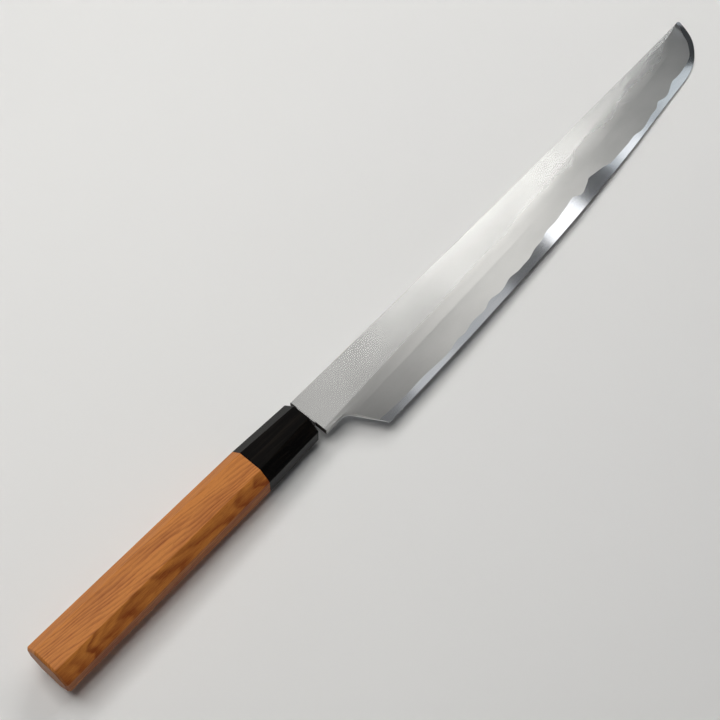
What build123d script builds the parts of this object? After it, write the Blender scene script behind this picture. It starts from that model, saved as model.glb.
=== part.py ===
from build123d import *
import os

os.makedirs("parts", exist_ok=True)

# A single-bevelled slicing knife with a slanted, rounded tip and an octagonal handle.
# X points from the handle to the tip, Y towards the spine and Z out of the bevelled face.
# The origin is the middle of the handle's flat underside. All lengths are in millimetres.

# Handle and ferrule: widths lie in the plane of the blade, flats are the top and bottom facets
handle_length = 149.2
ferrule_length = 32.5
handle_thick = 18.8
butt_width = 23.8
joint_width = 22.0
mouth_width = 20.0
butt_flat = 12.0
joint_flat = 12.0
mouth_flat = 8.5
facet_ease = 0.8
butt_chamfer = 1.0

# Dowel that joins ferrule and handle, and the hole behind it for the end of the tang
dowel_diameter = 14.0
dowel_length = 55.0
dowel_ease = 0.8
mouth_wall = 5.0
glue_gap = 0.1
tail_hole_diameter = 10.0
tail_room = 3.0

# Tang, measured back from the ferrule's mouth, and the seal round it
tang_reach = 110.0
tang_root_height = 11.0
tang_end_height = 5.0
tang_root_thick = 3.2
tang_end_thick = 2.2
tang_lift = 0.5
seal_wall = 0.6
seal_recess = 0.6

# Blade, measured forward from the ferrule's mouth and sideways from the handle's axis
blade_length = 318.0
blade_root_thick = 3.4
blade_tip_thick = 1.8
spine_root = 10.0
spine_middle = 11.1
spine_tip = 14.1
spine_ease = 0.4
tip_ease = 0.8
edge_drop = 28.5
edge_land = 0.15
neck_gap = 3.2
neck_drop = 11.4
neck_corner = 16.0
neck_round = 5.0
heel_lean = 10.1
shinogi_drop = 12.0
shinogi_round_neck = 3.0
shinogi_round_tip = 6.0

# Hard steel: a thin layer on the back, and the whole thickness along the edge
steel_start = 10.0
steel_edge_depth = 0.3
steel_spine_depth = 0.9
band_width = 5.0
hollow_depth = 0.25
hollow_rim = 3.0

# How far every cutting shape runs past what it cuts
overrun = 2.0

# Where the edge runs: shares of the blade's length, and of the edge's drop below the axis
edge_shares = [
    (0.0, 1.0),
    (0.20, 0.976),
    (0.377, 0.907),
    (0.566, 0.794),
    (0.742, 0.622),
    (0.867, 0.469),
    (0.935, 0.325),
    (0.962, 0.147),
    (0.981, -0.049),
]

# Where the bevel meets the flat: shares of the blade's length, and of the line's rise to the tip
shinogi_shares = [
    (0.0, 0.0),
    (0.16, 0.075),
    (0.32, 0.155),
    (0.48, 0.25),
    (0.64, 0.405),
    (0.80, 0.61),
    (0.90, 0.755),
    (0.96, 0.855),
]

# The corner between bevel and flat is rounded over, apart from this share of its turn
shinogi_crease_share = 0.05

# Places along the edge, as shares of its length, where the bevel's slope is set
ruling_shares = [0.0, 0.08, 0.2, 0.35, 0.5, 0.65, 0.78, 0.86, 0.91, 0.94, 0.965, 0.985, 1.0]

# How many steps of the wavy line below one smooth curve takes
lamination_run = 10

# The wavy line between iron and steel: shares of the edge's length, and of the band's width
lamination_shares = [
    (0.08, 0.8),
    (0.12, 0.65),
    (0.17, 0.65),
    (0.205, 0.5),
    (0.225, 0.55),
    (0.245, 0.7),
    (0.255, 0.6),
    (0.27, 0.75),
    (0.285, 0.8),
    (0.3, 0.7),
    (0.315, 0.85),
    (0.33, 0.95),
    (0.345, 0.75),
    (0.36, 0.85),
    (0.375, 1.0),
    (0.39, 0.85),
    (0.405, 0.85),
    (0.42, 0.85),
    (0.44, 1.1),
    (0.455, 1.1),
    (0.47, 1.3),
    (0.485, 1.4),
    (0.505, 1.35),
    (0.52, 1.45),
    (0.54, 1.55),
    (0.555, 1.65),
    (0.56, 1.55),
    (0.565, 1.25),
    (0.57, 1.15),
    (0.58, 1.25),
    (0.595, 1.5),
    (0.605, 1.7),
    (0.615, 1.55),
    (0.625, 1.4),
    (0.635, 1.25),
    (0.645, 0.95),
    (0.66, 0.85),
    (0.68, 0.8),
    (0.695, 0.75),
    (0.715, 0.75),
    (0.725, 0.55),
    (0.74, 0.45),
    (0.755, 0.55),
    (0.77, 0.65),
    (0.785, 0.65),
    (0.8, 0.95),
    (0.805, 0.8),
    (0.815, 0.6),
    (0.83, 0.75),
    (0.845, 1.05),
    (0.855, 1.15),
    (0.865, 1.0),
    (0.885, 0.85),
    (0.905, 0.65),
    (0.915, 0.55),
    (0.935, 0.6),
    (0.95, 0.65),
    (0.965, 0.75),
    (0.985, 0.6),
]

# The shallow hollow in the back: shares of the edge's length, and of the hollow's depth
hollow_shares = [(0.10, 0.2), (0.16, 0.8), (0.35, 1.0), (0.65, 1.0), (0.85, 0.8), (0.925, 0.3)]

# How far below the axis the steel layer is thinnest at the tip, as a share of the edge's drop
steel_tip_share = 0.35

# Places worked out from the sizes
axis_height = handle_thick / 2
mouth_x = handle_length / 2
butt_x = -handle_length / 2
joint_x = mouth_x - ferrule_length
blade_height = axis_height - blade_root_thick / 2
clear_height = 3 * blade_root_thick
tip_station = blade_length + overrun
round_growth = (shinogi_round_tip - shinogi_round_neck) / blade_length
blade_plane = Plane(origin=(mouth_x, 0, blade_height))


def station(x):
    """The plane square to the handle's axis at x, with Y to its right and Z up."""
    return Plane(origin=(x, 0, axis_height), x_dir=(0, 1, 0), z_dir=(1, 0, 0))


def octagon(width, flat):
    """The corners of one octagonal section of the handle."""
    corner = (width - flat) / 2
    top = handle_thick / 2
    quarter = [(flat / 2, top), (width / 2, top - corner)]
    right = quarter + [(y, -z) for y, z in reversed(quarter)]
    left = [(-y, z) for y, z in reversed(right)]
    return right + left


def blade_thick_at(x):
    """The blade's thickness between its flat faces at a distance from the ferrule's mouth."""
    return blade_root_thick + (blade_tip_thick - blade_root_thick) * x / blade_length


# The blade's lines, seen square to its face, with X from the ferrule's mouth
edge_points = [(x * blade_length, -y * edge_drop) for x, y in edge_shares]
tip_point = (blade_length, spine_tip - 2 * tip_ease)
beyond_tip = (blade_length + overrun / 2, spine_tip + overrun / 2)
shinogi_points = [
    (x * blade_length, -shinogi_drop + y * (spine_tip + shinogi_drop)) for x, y in shinogi_shares
]
shinogi_end = (blade_length - overrun, spine_tip + overrun / 4)
spine_points = [
    (0, spine_root),
    (blade_length / 2, spine_middle),
    (tip_station, spine_tip),
]
below_spine = [
    spine_points[-1],
    (tip_station, -edge_drop - overrun),
    (0, -edge_drop - overrun),
    spine_points[0],
]

with BuildLine() as edge_line:
    Spline(*edge_points, tip_point, beyond_tip)
with BuildLine() as shinogi_line:
    Spline(*shinogi_points, shinogi_end)
with BuildLine() as spine_line:
    ThreePointArc(*spine_points)
edge_curve = edge_line.edges()[0]
shinogi_curve = shinogi_line.edges()[0]
spine_curve = spine_line.edges()[0]

# The blade before its wide bevel: thinning evenly from neck to tip, with eased spine corners
with BuildPart() as blade_blank:
    with BuildSketch(blade_plane):
        with BuildLine():
            ThreePointArc(*spine_points)
            Polyline(*below_spine)
        make_face()
    extrude(amount=clear_height)
    with BuildSketch(Plane(origin=blade_plane.origin, x_dir=(1, 0, 0), z_dir=(0, -1, 0))):
        with BuildLine():
            Polyline(
                (neck_gap, 0),
                (tip_station, 0),
                (tip_station, blade_thick_at(tip_station)),
                (neck_gap, blade_thick_at(neck_gap)),
                close=True,
            )
        make_face()
    extrude(amount=2 * edge_drop, both=True, mode=Mode.INTERSECT)
    spine_face = blade_blank.faces().filter_by(GeomType.CYLINDER)[0]
    chamfer(spine_face.edges().sort_by(SortBy.LENGTH)[-2:], spine_ease)
    with BuildSketch(blade_plane) as outline:
        with BuildLine():
            Spline(*edge_points, tip_point, beyond_tip)
            Polyline(beyond_tip, (0, beyond_tip[1]), edge_points[0])
        make_face()
        with BuildLine():
            ThreePointArc(*spine_points)
            Polyline(*below_spine)
        make_face(mode=Mode.INTERSECT)
        with BuildLine():
            lean_past = heel_lean * (edge_drop + overrun - neck_drop) / (edge_drop - neck_drop)
            FilletPolyline(
                (-overrun, -neck_drop),
                (neck_corner, -neck_drop),
                (neck_corner + lean_past, -edge_drop - overrun),
                radius=neck_round,
            )
            Polyline(
                (neck_corner + lean_past, -edge_drop - overrun),
                (-overrun, -edge_drop - overrun),
                (-overrun, -neck_drop),
            )
        make_face(mode=Mode.SUBTRACT)
        fillet(outline.vertices().sort_by(Axis.X)[-1], tip_ease)
    extrude(amount=clear_height, mode=Mode.INTERSECT)

# Everything above the wide bevel, ruled from the shinogi line down to the edge
with BuildPart() as bevel_cut:
    for share in ruling_shares:
        inner = shinogi_curve @ share
        outer = edge_curve @ share
        along = (outer - inner).normalized()
        span = (outer - inner).length
        thick = blade_thick_at(inner.X)
        slope = (thick - edge_land) / span
        blend = min(shinogi_round_neck + round_growth * inner.X, span / 4)
        blend_drop = slope * blend
        ruling = Plane(
            origin=blade_plane.from_local_coords(inner),
            x_dir=along,
            z_dir=along.cross(Vector(0, 0, 1)),
        )
        with BuildSketch(ruling):
            with BuildLine():
                ThreePointArc(
                    (-blend, thick + blend_drop * shinogi_crease_share),
                    (0, thick - blend_drop * (1 - shinogi_crease_share) / 4),
                    (blend, thick - blend_drop),
                )
                Polyline(
                    (blend, thick - blend_drop),
                    (span + overrun, edge_land - slope * overrun),
                    (span + overrun, clear_height),
                    (-blend, clear_height),
                    (-blend, thick + blend_drop * shinogi_crease_share),
                )
            make_face()
    loft()

with BuildPart() as blade_form:
    add(blade_blank.part)
    add(bevel_cut.part, mode=Mode.SUBTRACT)

# The space that the hard steel takes: a layer on the back, and a band behind the edge
with BuildPart() as steel_space:
    depth_rise = (steel_spine_depth - steel_edge_depth) / (spine_root + edge_drop)
    for x, edge_y in ((steel_start, -edge_drop), (tip_station, -edge_drop * steel_tip_share)):
        low_y = -edge_drop - overrun
        high_y = spine_tip + overrun
        layer_plane = Plane(
            origin=blade_plane.from_local_coords((x, 0)), x_dir=(0, 1, 0), z_dir=(1, 0, 0)
        )
        with BuildSketch(layer_plane):
            with BuildLine():
                Polyline(
                    (low_y, -overrun),
                    (low_y, steel_edge_depth + depth_rise * (low_y - edge_y)),
                    (high_y, steel_edge_depth + depth_rise * (high_y - edge_y)),
                    (high_y, -overrun),
                    close=True,
                )
            make_face()
    loft(ruled=True)
    lamination_points = []
    for share, width_share in lamination_shares:
        edge_at = edge_curve @ share
        inward = ((shinogi_curve @ share) - edge_at).normalized()
        lamination_points.append(edge_at + inward * band_width * width_share)
    first = lamination_points[0]
    past_heel = (first.X - heel_lean, first.Y)
    past_spine = (lamination_points[-1].X, spine_tip + overrun)
    lamination_points.append(past_spine)
    with BuildSketch(blade_plane.offset(-overrun)):
        with BuildLine():
            for start in range(0, len(lamination_points) - 1, lamination_run):
                Spline(*lamination_points[start : start + lamination_run + 1])
            Polyline(
                past_spine,
                (tip_station, spine_tip + overrun),
                (tip_station, -edge_drop - overrun),
                (past_heel[0], -edge_drop - overrun),
                past_heel,
                first,
            )
        make_face()
    extrude(amount=clear_height)

# The hollow in the back, which leaves a flat rim to lie on a sharpening stone
with BuildPart() as back_hollow:
    for share, depth_share in hollow_shares:
        edge_at = edge_curve @ share
        spine_at = spine_curve @ (edge_at.X / tip_station)
        low_y = edge_at.Y + hollow_rim
        high_y = spine_at.Y - hollow_rim
        hollow_plane = Plane(
            origin=blade_plane.from_local_coords((edge_at.X, 0)), x_dir=(0, 1, 0), z_dir=(1, 0, 0)
        )
        with BuildSketch(hollow_plane):
            with BuildLine():
                ThreePointArc(
                    (low_y, 0), ((low_y + high_y) / 2, hollow_depth * depth_share), (high_y, 0)
                )
                Polyline((high_y, 0), (high_y, -overrun), (low_y, -overrun), (low_y, 0))
            make_face()
    loft()

with BuildPart() as edge_steel:
    add(blade_form.part)
    add(steel_space.part, mode=Mode.INTERSECT)
    add(back_hollow.part, mode=Mode.SUBTRACT)

# The tang tapers back into the handle
with BuildPart() as tang:
    for x, height, thick in (
        (mouth_x - tang_reach, tang_end_height, tang_end_thick),
        (mouth_x + neck_gap + overrun, tang_root_height, tang_root_thick),
    ):
        with BuildSketch(station(x)):
            with Locations((tang_lift, 0)):
                Rectangle(height, thick)
    loft(ruled=True)

with BuildPart() as soft_iron:
    add(blade_form.part)
    add(steel_space.part, mode=Mode.SUBTRACT)
    add(tang.part)

# Ferrule: octagonal outside, bored for the dowel, with a slot for the tang and its seal
slot_height = tang_root_height + 2 * seal_wall
slot_thick = tang_root_thick + 2 * seal_wall
bore_diameter = dowel_diameter + 2 * glue_gap

with BuildPart() as ferrule:
    for x, width, flat in (
        (joint_x, joint_width, joint_flat),
        (mouth_x, mouth_width, mouth_flat),
    ):
        with BuildSketch(station(x)):
            with BuildLine():
                Polyline(*octagon(width, flat), close=True)
            make_face()
    loft(ruled=True)
    joint_face = ferrule.faces().sort_by(Axis.X)[0]
    fillet(ferrule.edges() - joint_face.edges(), facet_ease)
    with BuildSketch(station(joint_x)):
        Circle(bore_diameter / 2)
    extrude(amount=ferrule_length - mouth_wall, mode=Mode.SUBTRACT)
    with BuildSketch(station(mouth_x)):
        with Locations((tang_lift, 0)):
            Rectangle(slot_height, slot_thick)
    extrude(amount=-mouth_wall, mode=Mode.SUBTRACT)

with BuildPart() as seal:
    with BuildSketch(station(mouth_x - mouth_wall)):
        with Locations((tang_lift, 0)):
            Rectangle(slot_height, slot_thick)
    extrude(amount=mouth_wall - seal_recess)
    add(tang.part, mode=Mode.SUBTRACT)

# Dowel: half in the ferrule, half in the handle, split by the tang
with BuildPart() as dowel:
    with BuildSketch(station(mouth_x - mouth_wall - dowel_length)):
        Circle(dowel_diameter / 2)
    extrude(amount=dowel_length)
    chamfer(dowel.faces().sort_by(Axis.X)[0].edges(), dowel_ease)
    add(tang.part, mode=Mode.SUBTRACT)

# Handle: octagonal, with a chamfered butt, bored for the dowel and the tang's end
dowel_seat_depth = dowel_length - (ferrule_length - mouth_wall) + glue_gap

with BuildPart() as handle:
    for x, width, flat in (
        (butt_x, butt_width, butt_flat),
        (joint_x, joint_width, joint_flat),
    ):
        with BuildSketch(station(x)):
            with BuildLine():
                Polyline(*octagon(width, flat), close=True)
            make_face()
    loft(ruled=True)
    chamfer(handle.faces().sort_by(Axis.X)[0].edges(), butt_chamfer)
    joint_face = handle.faces().sort_by(Axis.X)[-1]
    fillet(handle.edges() - joint_face.edges(), facet_ease)
    with BuildSketch(station(joint_x)):
        Circle(bore_diameter / 2)
    extrude(amount=-dowel_seat_depth, mode=Mode.SUBTRACT)
    with BuildSketch(station(joint_x)):
        Circle(tail_hole_diameter / 2)
    extrude(amount=-(tang_reach - ferrule_length + tail_room), mode=Mode.SUBTRACT)

soft_iron.part.label = "soft_iron_body"
edge_steel.part.label = "edge_steel"
ferrule.part.label = "horn_ferrule"
handle.part.label = "handle_body"
dowel.part.label = "handle_dowel"
seal.part.label = "tang_seal"

export_step(soft_iron.part, "parts/soft_iron_body.step")
export_step(edge_steel.part, "parts/edge_steel.step")
export_step(ferrule.part, "parts/horn_ferrule.step")
export_step(handle.part, "parts/handle_body.step")
export_step(dowel.part, "parts/handle_dowel.step")
export_step(seal.part, "parts/tang_seal.step")
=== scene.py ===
import math

import bpy
from mathutils import Matrix, Vector


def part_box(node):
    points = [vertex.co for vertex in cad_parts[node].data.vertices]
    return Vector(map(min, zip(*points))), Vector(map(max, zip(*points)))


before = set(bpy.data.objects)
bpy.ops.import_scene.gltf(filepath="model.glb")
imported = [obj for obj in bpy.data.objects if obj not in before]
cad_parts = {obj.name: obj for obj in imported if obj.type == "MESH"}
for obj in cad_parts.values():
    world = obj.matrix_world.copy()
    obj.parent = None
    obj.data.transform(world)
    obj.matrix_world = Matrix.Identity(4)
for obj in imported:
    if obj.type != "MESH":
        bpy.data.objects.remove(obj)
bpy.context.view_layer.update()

# Places in the frame, in metres: X from the handle to the tip, Y to the spine, Z up
MOUTH_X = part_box("horn_ferrule")[1].x
MOUTH_CHAMFER = 0.0008
NECK_GAP = 0.0032
NECK_X = MOUTH_X + NECK_GAP
BLADE_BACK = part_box("edge_steel")[0].z
TIP_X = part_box("edge_steel")[1].x
AXIS_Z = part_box("handle_body")[1].z / 2

# The room, in metres
FLOOR_SIZE = 8.0
FLOOR_GAP = 0.0002
CEILING = 0.9

# Millimetres in a metre
MM = 1000.0

# What a ramp gives where it falls instead of rising
FALLING = (1.0, 0.0)

# Where the Mix node keeps its sockets, for colours and for plain numbers
COLOR_A, COLOR_B, COLOR_RESULT = 6, 7, 2
NUMBER_A, NUMBER_B, NUMBER_RESULT = 2, 3, 0


class Look:
    """One material. Its methods add nodes and return outputs, so that a look reads as a recipe."""

    def __init__(self, name):
        self.material = bpy.data.materials.new(name)
        self.material.use_nodes = True
        self.tree = self.material.node_tree
        self.shader = self.tree.nodes["Principled BSDF"]
        coordinates = self.tree.nodes.new("ShaderNodeTexCoord").outputs["Object"]
        self.place = self.vector("SCALE", coordinates, MM)
        geometry = self.tree.nodes.new("ShaderNodeNewGeometry")
        self.normal = self.split(geometry.outputs["Normal"])
        self.at = self.split(self.place)

    def join(self, socket, value):
        """Links an output to a socket, or sets the socket to a plain value."""
        if isinstance(value, bpy.types.NodeSocket):
            self.tree.links.new(value, socket)
        else:
            socket.default_value = value

    def vector(self, operation, a, b):
        """One operation on vectors. A distance comes out as a number."""
        node = self.tree.nodes.new("ShaderNodeVectorMath")
        node.operation = operation
        self.join(node.inputs[0], a)
        self.join(node.inputs["Scale" if operation == "SCALE" else 1], b)
        return node.outputs["Value" if operation == "DISTANCE" else "Vector"]

    def split(self, vector):
        """The X, Y and Z of a vector, by name."""
        node = self.tree.nodes.new("ShaderNodeSeparateXYZ")
        self.join(node.inputs[0], vector)
        return node.outputs

    def combine(self, x, y, z):
        """A vector from three numbers."""
        node = self.tree.nodes.new("ShaderNodeCombineXYZ")
        for socket, value in zip(node.inputs, (x, y, z)):
            self.join(socket, value)
        return node.outputs[0]

    def turned(self, angles, shift=(0, 0, 0)):
        """The place in millimetres, shifted and then turned by angles in degrees."""
        node = self.tree.nodes.new("ShaderNodeMapping")
        self.join(node.inputs["Vector"], self.vector("ADD", self.place, shift))
        node.inputs["Rotation"].default_value = [math.radians(a) for a in angles]
        return node.outputs[0]

    def math(self, operation, a, b=0.0):
        """One operation on numbers."""
        node = self.tree.nodes.new("ShaderNodeMath")
        node.operation = operation
        self.join(node.inputs[0], a)
        self.join(node.inputs[1], b)
        return node.outputs[0]

    def ramp(self, value, span, gives=(0.0, 1.0)):
        """Goes smoothly from one number of gives to the other while value goes over span."""
        return smooth_ramp(self.tree, value, span, gives)

    def noise(self, vector, per_mm, detail, roughness=0.5, distortion=0.0):
        """Noise with a number of cells per millimetre along each axis."""
        node = self.tree.nodes.new("ShaderNodeTexNoise")
        self.join(node.inputs["Vector"], self.vector("MULTIPLY", vector, per_mm))
        node.inputs["Scale"].default_value = 1.0
        node.inputs["Detail"].default_value = detail
        node.inputs["Roughness"].default_value = roughness
        node.inputs["Distortion"].default_value = distortion
        return node.outputs["Fac"]

    def mix(self, factor, a, b):
        """A colour between a and b."""
        node = self.tree.nodes.new("ShaderNodeMix")
        node.data_type = "RGBA"
        self.join(node.inputs["Factor"], factor)
        self.join(node.inputs[COLOR_A], (*a, 1) if isinstance(a, tuple) else a)
        self.join(node.inputs[COLOR_B], (*b, 1) if isinstance(b, tuple) else b)
        return node.outputs[COLOR_RESULT]

    def between(self, factor, a, b):
        """A number between a and b."""
        node = self.tree.nodes.new("ShaderNodeMix")
        self.join(node.inputs["Factor"], factor)
        self.join(node.inputs[NUMBER_A], a)
        self.join(node.inputs[NUMBER_B], b)
        return node.outputs[NUMBER_RESULT]

    def bump(self, height, depth_mm, strength=1.0):
        """Relief on the surface, with the depth in millimetres that a height of one stands for."""
        node = self.tree.nodes.new("ShaderNodeBump")
        node.inputs["Distance"].default_value = depth_mm / MM
        node.inputs["Strength"].default_value = strength
        self.join(node.inputs["Height"], height)
        self.join(self.shader.inputs["Normal"], node.outputs[0])

    def set(self, **values):
        """Sets the shader's sockets, each to an output or a plain number."""
        names = {
            "color": "Base Color",
            "roughness": "Roughness",
            "metallic": "Metallic",
            "ior": "IOR",
            "specular": "Specular IOR Level",
        }
        for key, value in values.items():
            self.join(self.shader.inputs[names[key]], value)

    def dress(self, node):
        """Gives a CAD node this look."""
        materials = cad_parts[node].data.materials
        materials.clear()
        materials.append(self.material)


def smooth_ramp(tree, value, span, gives):
    """Adds a ramp with soft ends to a node tree and returns its output."""
    node = tree.nodes.new("ShaderNodeMapRange")
    node.interpolation_type = "SMOOTHSTEP"
    tree.links.new(value, node.inputs["Value"])
    names = ("From Min", "From Max", "To Min", "To Max")
    for name, number in zip(names, (*span, *gives)):
        node.inputs[name].default_value = number
    return node.outputs["Result"]


def soft_iron_look():
    """Satin flat, hazy bevel, a painted highlight on the spine, and dark scale on the tang with the
    same dark colour on faces that face back towards the handle.
    """
    flat_tone, bevel_tone, spine_painted_highlight = 0.78, 0.45, 0.95
    green_share, blue_share = 0.995, 0.975
    scale_dark, scale_light = (0.035, 0.03, 0.028), (0.09, 0.075, 0.065)
    bevel_roughness, spine_roughness, scale_roughness = 0.03, 0.22, 0.75
    steel_metal, scale_metal = 1.0, 0.4
    cross_share, bevel_relief, scale_relief, relief_mm = 0.45, 0.35, 50.0, 0.0009

    look = Look("soft_iron_satin")
    along = look.turned((0, 0, -1.5))
    across = look.turned((0, 0, 78))
    hair = look.noise(along, per_mm=(0.09, 14.0, 14.0), detail=4.0, roughness=0.65)
    cross = look.noise(across, per_mm=(0.2, 10.0, 10.0), detail=3.0, roughness=0.6)
    cloud = look.noise(look.place, per_mm=(0.035, 0.08, 0.08), detail=3.0, roughness=0.55)
    haze = look.noise(look.place, per_mm=(1.1, 1.6, 1.6), detail=5.0, roughness=0.65)

    # The bevel and the spine are found by the way they face; the dark part is the tang behind the
    # neck together with every face that faces back towards the handle
    on_bevel = look.ramp(look.normal["Y"], (-0.085, -0.02), FALLING)
    on_spine = look.ramp(look.normal["Y"], (0.4, 0.9))
    behind_neck = look.ramp(look.at["X"], (NECK_X * MM - 0.6, NECK_X * MM - 0.2), FALLING)
    # Faces that face back towards the handle get the same dark, rough, less metallic colour as the
    # tang
    faces_back = look.ramp(look.normal["X"], (-0.98, -0.9), FALLING)
    tang_and_back_faces = look.math("MAXIMUM", behind_neck, faces_back)

    lines = look.between(on_bevel, hair, look.between(cross_share, haze, cross))
    line_tone = look.ramp(lines, (0.3, 0.7), gives=(-0.01, 0.01))
    cloud_tone = look.ramp(cloud, (0.3, 0.7), gives=(-0.02, 0.02))
    tone = look.math("ADD", line_tone, cloud_tone)
    flat_value = look.math("ADD", tone, flat_tone)
    bevel_value = look.math("ADD", tone, bevel_tone)
    value = look.between(on_bevel, flat_value, bevel_value)
    # Painted highlight: the spine gets a brighter colour than the flat, standing in for the light
    # its edge catches
    value = look.between(on_spine, value, spine_painted_highlight)
    green = look.math("MULTIPLY", value, green_share)
    blue = look.math("MULTIPLY", value, blue_share)
    scale = look.mix(look.ramp(haze, (0.35, 0.65)), scale_dark, scale_light)
    look.set(color=look.mix(tang_and_back_faces, look.combine(value, green, blue), scale))

    satin = look.ramp(cloud, (0.3, 0.7), gives=(0.25, 0.265))
    satin = look.between(on_bevel, satin, look.math("ADD", satin, bevel_roughness))
    satin = look.between(on_spine, satin, spine_roughness)
    look.set(roughness=look.between(tang_and_back_faces, satin, scale_roughness))
    look.set(metallic=look.between(tang_and_back_faces, steel_metal, scale_metal))

    relief = look.between(on_bevel, hair, look.math("MULTIPLY", lines, bevel_relief))
    scale_height = look.math("MULTIPLY", haze, scale_relief)
    look.bump(look.between(tang_and_back_faces, relief, scale_height), relief_mm)
    return look


def edge_steel_look():
    """A mirror on the bevel and the back's rim, and a brushed hollow."""
    mirror_dark, mirror_light = (0.74, 0.76, 0.79), (0.8, 0.81, 0.83)
    hollow_dark, hollow_light = (0.6, 0.61, 0.62), (0.7, 0.7, 0.71)
    wave_relief, mirror_relief, relief_mm = 3.0, 0.05, 0.002

    look = Look("edge_steel_polished")
    along = look.turned((0, 0, -1.0))
    hair = look.noise(along, per_mm=(0.04, 10.0, 10.0), detail=4.0, roughness=0.6)
    wave = look.noise(look.place, per_mm=(0.02, 0.12, 0.12), detail=2.0)
    cloud = look.noise(look.place, per_mm=(0.05, 0.2, 0.2), detail=3.0, roughness=0.6)

    # The hollow faces down and lies a little above the back's flat rim
    on_back = look.ramp(look.normal["Z"], (-0.6, -0.3), FALLING)
    inside = look.ramp(look.at["Z"], (BLADE_BACK * MM + 0.004, BLADE_BACK * MM + 0.03))
    in_hollow = look.math("MULTIPLY", on_back, inside)

    tint = look.mix(look.ramp(cloud, (0.3, 0.7)), mirror_dark, mirror_light)
    hollow_tint = look.mix(look.ramp(hair, (0.3, 0.7)), hollow_dark, hollow_light)
    look.set(color=look.mix(in_hollow, tint, hollow_tint), metallic=1.0)
    mirror = look.ramp(hair, (0.25, 0.75), gives=(0.05, 0.085))
    brushed = look.ramp(hair, (0.25, 0.75), gives=(0.24, 0.34))
    look.set(roughness=look.between(in_hollow, mirror, brushed))
    scratches = look.between(in_hollow, look.math("MULTIPLY", hair, mirror_relief), hair)
    look.bump(look.math("ADD", look.math("MULTIPLY", wave, wave_relief), scratches), relief_mm)
    return look


def horn_look():
    """Polished black horn with faint brown streaks along its fibres."""
    black, brown = (0.0022, 0.002, 0.0019), (0.0085, 0.0065, 0.005)
    look = Look("horn_polished")
    along = look.turned((0, 0, 3))
    streak = look.noise(along, per_mm=(0.03, 0.55, 0.55), detail=5.0, roughness=0.6, distortion=0.4)
    fibre = look.noise(along, per_mm=(0.08, 6.0, 6.0), detail=3.0, roughness=0.6)
    look.set(color=look.mix(look.ramp(streak, (0.45, 0.72)), black, brown))
    look.set(roughness=look.ramp(fibre, (0.25, 0.75), gives=(0.16, 0.24)), ior=1.54, specular=0.06)
    look.bump(fibre, depth_mm=0.002)
    return look


def wood_look(name, early, late, end_tint, heart, ring_mm, painted_side_shade):
    """Growth rings round a heart beside the piece, with fibres and pores, and painted shade that
    darkens the side towards -Y.
    """
    drift_mm, wobble_mm = 6.0, 0.7
    late_share, pore_share, pore_dark = 0.6, 0.35, 0.45
    late_relief, relief_mm, relief_strength = 0.5, 0.02, 0.6

    look = Look(name)
    trunk = look.turned((0, 2.2, 2.6), heart)
    drift = look.noise(trunk, per_mm=(0.014, 0.06, 0.06), detail=2.0)
    wobble = look.noise(trunk, per_mm=(0.05, 0.35, 0.35), detail=3.0, roughness=0.6)
    fibre = look.noise(trunk, per_mm=(0.07, 4.0, 4.0), detail=4.0, roughness=0.65)
    figure = look.noise(trunk, per_mm=(0.03, 0.28, 0.28), detail=3.0, roughness=0.6)
    pore = look.ramp(look.noise(trunk, per_mm=(0.2, 7.5, 7.5), detail=1.0), (0.64, 0.72))

    # Each ring darkens towards its end, and some rings are stronger than others
    across = look.split(trunk)
    radius = look.vector("DISTANCE", look.combine(0.0, across["Y"], across["Z"]), (0, 0, 0))
    radius = look.math("ADD", radius, look.math("MULTIPLY", drift, drift_mm))
    radius = look.math("ADD", radius, look.math("MULTIPLY", wobble, wobble_mm))
    count = look.math("DIVIDE", radius, ring_mm)
    ring = look.math("FRACT", count)
    darkens = look.ramp(ring, (0.15, 0.75))
    ends = look.ramp(ring, (0.75, 1.0), FALLING)
    ring_number = look.combine(look.math("FLOOR", count), 0.0, 0.0)
    chance = look.noise(ring_number, (0.73, 1.0, 1.0), detail=0.0)
    strength = look.ramp(chance, (0.3, 0.7), gives=(0.35, 1.0))
    late_line = look.math("MULTIPLY", look.math("MULTIPLY", darkens, ends), strength)

    fibre_tone = look.ramp(fibre, (0.25, 0.75), gives=(-0.2, 0.26))
    tone = look.math("ADD", look.math("MULTIPLY", late_line, late_share), fibre_tone)
    tone = look.math("ADD", tone, look.ramp(figure, (0.3, 0.7), gives=(-0.2, 0.24)))
    # Painted shade: the wood turns darker towards the side that faces -Y, away from the light
    tone = look.math("ADD", tone, look.ramp(look.at["Y"], (-4.0, -10.0), gives=(0.0, painted_side_shade)))
    wood = look.mix(look.math("MAXIMUM", tone, 0.0), early, late)
    pore_tint = tuple(pore_dark * channel for channel in late)
    wood = look.mix(look.math("MULTIPLY", pore, pore_share), wood, pore_tint)
    on_end = look.ramp(look.normal["X"], (-0.85, -0.6), gives=(0.75, 0.0))
    look.set(color=look.mix(on_end, wood, look.mix(tone, end_tint, late)))
    look.set(roughness=look.ramp(fibre, (0.2, 0.8), gives=(0.4, 0.54)), ior=1.48, specular=0.22)

    relief = look.math("ADD", fibre, look.math("MULTIPLY", late_line, late_relief))
    look.bump(look.math("SUBTRACT", relief, pore), relief_mm, relief_strength)
    return look


def seal_look():
    """Dark resin, slightly uneven where it set."""
    look = Look("seal_resin")
    lump = look.noise(look.place, per_mm=(0.5, 0.5, 0.5), detail=3.0, roughness=0.6)
    look.set(color=look.mix(lump, (0.012, 0.01, 0.008), (0.03, 0.024, 0.018)))
    look.set(roughness=look.ramp(lump, (0.3, 0.7), gives=(0.4, 0.6)))
    look.bump(lump, depth_mm=0.06)
    return look


def floor_look():
    """A pale, even table top."""
    look = Look("pale_floor")
    cloud = look.noise(look.place, per_mm=(0.004, 0.004, 0.004), detail=2.0)
    look.set(color=look.mix(cloud, (0.78, 0.78, 0.775), (0.81, 0.81, 0.805)))
    look.set(roughness=0.7, specular=0.25)
    return look


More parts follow.
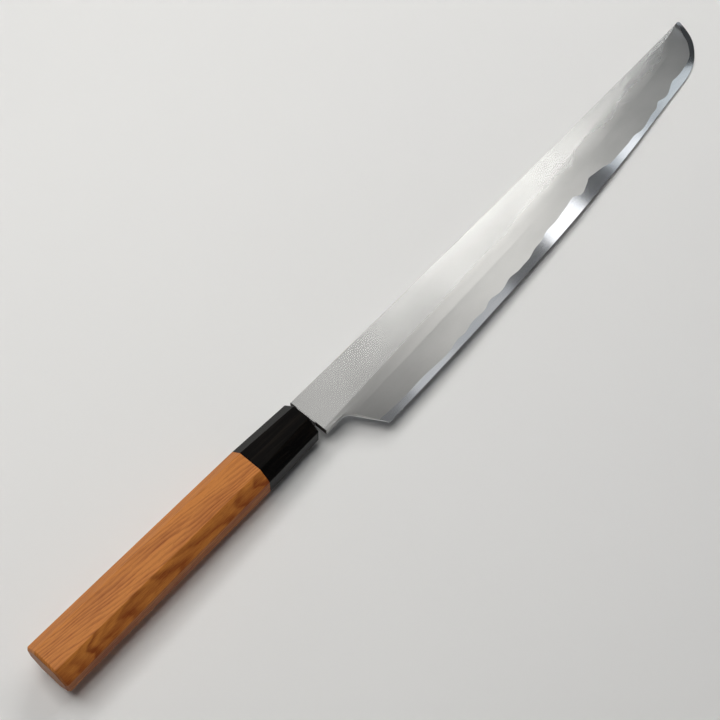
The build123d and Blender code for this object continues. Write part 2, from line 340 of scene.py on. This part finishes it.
def soft_box(name, x, y, radiance, color=(1, 1, 1)):
    """A light box that faces down from the ceiling, with its sides in metres and its brightness."""
    light = bpy.data.lights.new(name, "AREA")
    light.shape = "RECTANGLE"
    light.size = x[1] - x[0]
    light.size_y = y[1] - y[0]
    light.energy = radiance * math.pi * light.size * light.size_y
    light.color = color
    lamp = bpy.data.objects.new(name, light)
    bpy.context.scene.collection.objects.link(lamp)
    lamp.location = (sum(x) / 2, sum(y) / 2, CEILING)
    return lamp


soft_iron_look().dress("soft_iron_body")
edge_steel_look().dress("edge_steel")
horn_look().dress("horn_ferrule")
wood_look(
    "handle_wood_figured",
    early=(0.56, 0.2, 0.037),
    late=(0.22, 0.049, 0.007),
    end_tint=(0.29, 0.125, 0.042),
    heart=(0, -26, 29 - AXIS_Z * MM),
    ring_mm=0.85,
    painted_side_shade=0.42,
).dress("handle_body")
wood_look(
    "dowel_wood_plain",
    early=(0.6, 0.44, 0.26),
    late=(0.42, 0.28, 0.15),
    end_tint=(0.55, 0.4, 0.24),
    heart=(0, 40, 18),
    ring_mm=2.2,
    painted_side_shade=0.0,
).dress("handle_dowel")
seal_look().dress("tang_seal")

# The knife leans forward a little, onto the ferrule's front edge and the blade's tip
lean = math.atan2(BLADE_BACK, TIP_X - MOUTH_X)
floor_up = Vector((-math.sin(lean), 0, math.cos(lean)))
touch = Vector((MOUTH_X - MOUTH_CHAMFER, 0, 0))
bpy.ops.mesh.primitive_plane_add(size=FLOOR_SIZE)
floor = bpy.context.object
floor.name = "floor"
floor.rotation_euler = (0, -lean, 0)
floor.location = touch - floor_up * FLOOR_GAP
floor.data.materials.append(floor_look().material)

# Camera at the photograph's viewing angle
camera_data = bpy.data.cameras.new("camera")
camera_data.sensor_width = 36.0
camera_data.lens = 66.475
camera = bpy.data.objects.new("camera", camera_data)
bpy.context.scene.collection.objects.link(camera)
bpy.context.scene.camera = camera
camera_at = Vector((-0.1283946, -0.1962875, 0.5218832))
forward = Vector((0.4057721, 0.32966023, -0.85245125))
right = Vector((0.65468184, -0.75565543, 0.01940531))
above = right.cross(forward)
turn = Matrix((right, above, -forward)).transposed()
camera.matrix_world = Matrix.Translation(camera_at) @ turn.to_4x4()

# Soft boxes for the handle and the floor, and for the flat of the blade from its neck to its tip
over_handle = soft_box(
    "over_handle", (-0.363, 0.2), (-0.1, 0.8), radiance=4.15, color=(1.0, 0.985, 0.96)
)
soft_box("over_neck", (0.3, 0.5), (0.08, 0.449), radiance=0.66, color=(1.0, 0.99, 0.97))
soft_box("flat_key", (0.671, 1.107), (0.451, 0.762), radiance=5.45, color=(1.0, 0.997, 0.98))
soft_box("flat_tip", (1.225, 1.404), (0.348, 0.399), radiance=3.2, color=(0.93, 0.97, 1.0))

# Soft boxes for the ridge and the bevel
soft_box("ridge", (0.94, 1.02), (0.249, 0.299), radiance=9.0, color=(1.0, 0.997, 0.98))
soft_box("bevel_high", (0.608, 0.907), (0.1, 0.2), radiance=4.88, color=(1.0, 0.99, 0.965))
soft_box("bevel_low", (0.685, 0.917), (-0.15, -0.07), radiance=11.3, color=(1.0, 0.99, 0.965))
soft_box("bevel_tip", (1.56, 1.71), (0.05, 0.14), radiance=5.5, color=(0.9, 0.95, 1.0))

# Soft boxes side by side that the mirror band shows in turn, from the heel to the tip
soft_box("band_heel", (0.44, 0.505), (-0.11, 0.0), radiance=0.12)
soft_box("band_step", (0.505, 0.535), (-0.1, 0.01), radiance=0.25)
soft_box("band_rise", (0.535, 0.61), (-0.09, 0.03), radiance=0.56, color=(0.98, 0.99, 1.0))
soft_box("band_even", (0.61, 0.742), (-0.069, 0.06), radiance=0.44, color=(0.98, 0.99, 1.0))
soft_box("band_shade", (0.742, 0.833), (-0.03, 0.09), radiance=0.09)
soft_box("band_white", (0.833, 0.918), (0.005, 0.095), radiance=1.48)
soft_box("band_dark", (0.918, 0.998), (0.02, 0.13), radiance=0.06)
soft_box("band_edge", (0.998, 1.022), (0.04, 0.15), radiance=0.6, color=(0.9, 0.96, 1.0))
soft_box("band_bright", (1.022, 1.074), (0.04, 0.14), radiance=1.1, color=(0.95, 0.98, 1.0))
soft_box("band_cool", (1.074, 1.102), (0.05, 0.145), radiance=0.72, color=(0.92, 0.97, 1.0))
soft_box("band_dip", (1.102, 1.137), (0.06, 0.15), radiance=0.5, color=(0.9, 0.96, 1.0))
soft_box("band_far", (1.137, 1.33), (0.09, 0.17), radiance=0.68, color=(0.9, 0.97, 1.0))

# The box over the handle lights the handle, the ferrule and the floor; the blade has its own boxes
beside_blade = bpy.data.collections.new("beside_blade")
for lit in (floor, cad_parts["handle_body"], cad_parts["horn_ferrule"]):
    beside_blade.objects.link(lit)
over_handle.light_linking.receiver_collection = beside_blade

# A dim room with a soft glow low down on all sides
world = bpy.data.worlds.new("studio")
world.use_nodes = True
background = world.node_tree.nodes["Background"]
background.inputs["Color"].default_value = (0.93, 0.96, 1.0, 1)
direction = world.node_tree.nodes.new("ShaderNodeTexCoord")
height = world.node_tree.nodes.new("ShaderNodeSeparateXYZ")
world.node_tree.links.new(direction.outputs["Generated"], height.inputs[0])
glow = smooth_ramp(world.node_tree, height.outputs["Z"], (0.18, 0.4), gives=(0.35, 0.05))
world.node_tree.links.new(glow, background.inputs["Strength"])
bpy.context.scene.world = world
bpy.context.scene.view_settings.view_transform = "Standard"
